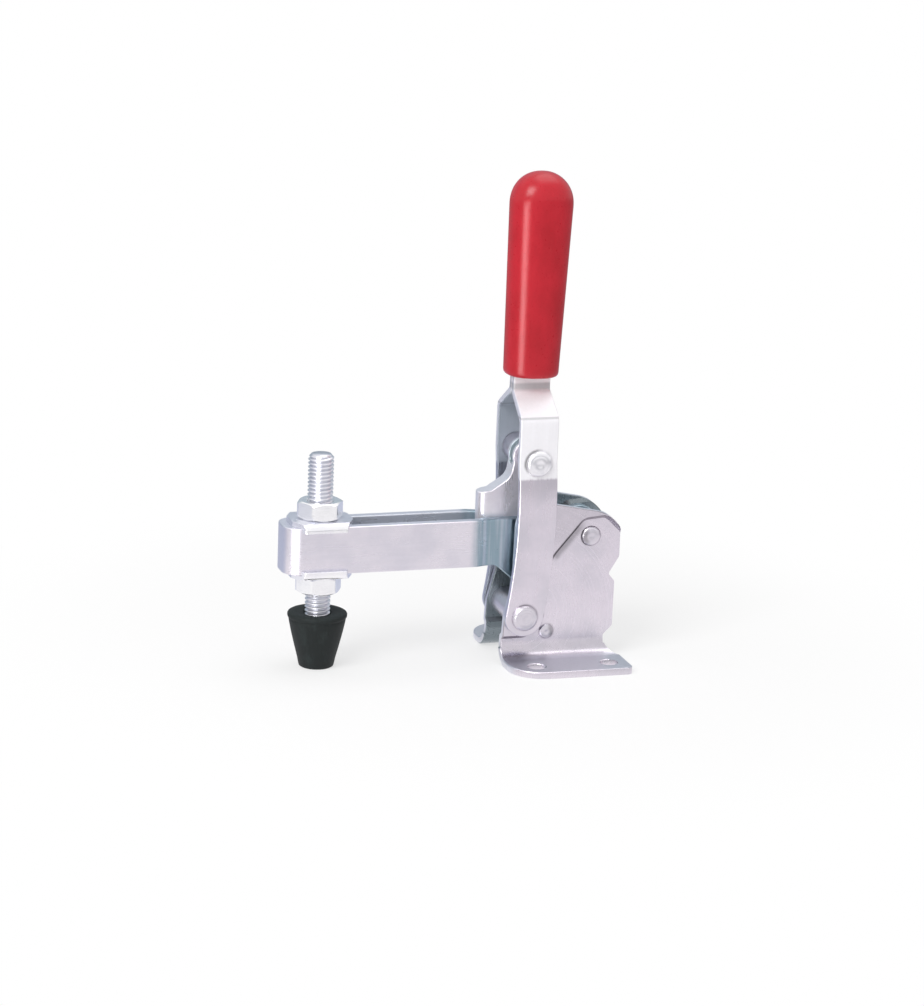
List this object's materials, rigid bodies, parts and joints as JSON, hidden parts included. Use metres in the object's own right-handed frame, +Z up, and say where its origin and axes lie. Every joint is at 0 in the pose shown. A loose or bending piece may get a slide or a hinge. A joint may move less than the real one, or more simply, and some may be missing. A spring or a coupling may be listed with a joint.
{
  "type": "toggle clamp",
  "caption": "Hold-down toggle clamp with an upright handle, a slotted bar arm on a flanged base and an adjustable rubber-tipped spindle.",
  "frame": {"origin": "centre of the four base holes on the underside of the flanges", "axes": "+Z up out of the base, -X along the arm towards the spindle, -Y the near side in the picture"},
  "size_m": [0.1087, 0.056, 0.1559],
  "materials": {
    "zinc_sheet": "bright zinc-plated rolled steel",
    "zinc_rivet": "zinc-plated steel, turned and headed",
    "zinc_fastener": "bright zinc-plated steel",
    "red_grip": "satin red moulded vinyl",
    "black_rubber": "matt black rubber"
  },
  "bodies": {
    "base": {"base_plate_near": "zinc_sheet", "base_plate_far": "zinc_sheet", "arm_pivot_rivet": "zinc_rivet", "handle_pivot_rivet": "zinc_rivet", "handle_pivot_spacer": "zinc_rivet", "base_rivet": "zinc_rivet", "base_spacer": "zinc_rivet"},
    "handle": {"handle_plate_near": "zinc_sheet", "handle_plate_far": "zinc_sheet", "link_rivet": "zinc_rivet", "link_sleeve_near": "zinc_rivet", "link_sleeve_far": "zinc_rivet", "grip": "red_grip"},
    "arm": {"u_bar": "zinc_sheet", "arm_pivot_spacer": "zinc_rivet", "arm_link_rivet": "zinc_rivet"},
    "link": {"link_channel": "zinc_sheet", "link_eye_shank": "zinc_rivet"},
    "carriage": {"upper_flanged_washer": "zinc_sheet", "lower_flanged_washer": "zinc_sheet", "upper_nut": "zinc_fastener", "lower_nut": "zinc_fastener"},
    "spindle": {"spindle": "zinc_fastener", "rubber_cap": "black_rubber"}
  },
  "joints": [
    {"name": "handle_swing", "type": "hinge", "parent": "base", "child": "handle", "pos_m": [-0.0138, 0, 0.0157], "axis": [0, 1, 0], "range_deg": [0, 55.5]},
    {"name": "arm_swing", "type": "hinge", "parent": "base", "child": "arm", "pos_m": [0.0084, 0, 0.0404], "axis": [0, 1, 0], "range_deg": [0, 98.8]},
    {"name": "link_swing", "type": "hinge", "parent": "handle", "child": "link", "pos_m": [-0.0112, 0, 0.0657], "axis": [0, 1, 0], "range_deg": [0, 78.7]},
    {"name": "carriage_slide", "type": "slide", "parent": "arm", "child": "carriage", "axis": [1, 0, 0], "range_m": [-0.0045, 0.038]},
    {"name": "spindle_height", "type": "slide", "parent": "carriage", "child": "spindle", "axis": [0, 0, 1], "range_m": [-0.01, 0.004]}
  ],
  "couplings": [
    {"joint": "arm_swing", "follows": "handle_swing", "ratio": 1.7789},
    {"joint": "link_swing", "follows": "handle_swing", "ratio": 1.4165}
  ]
}
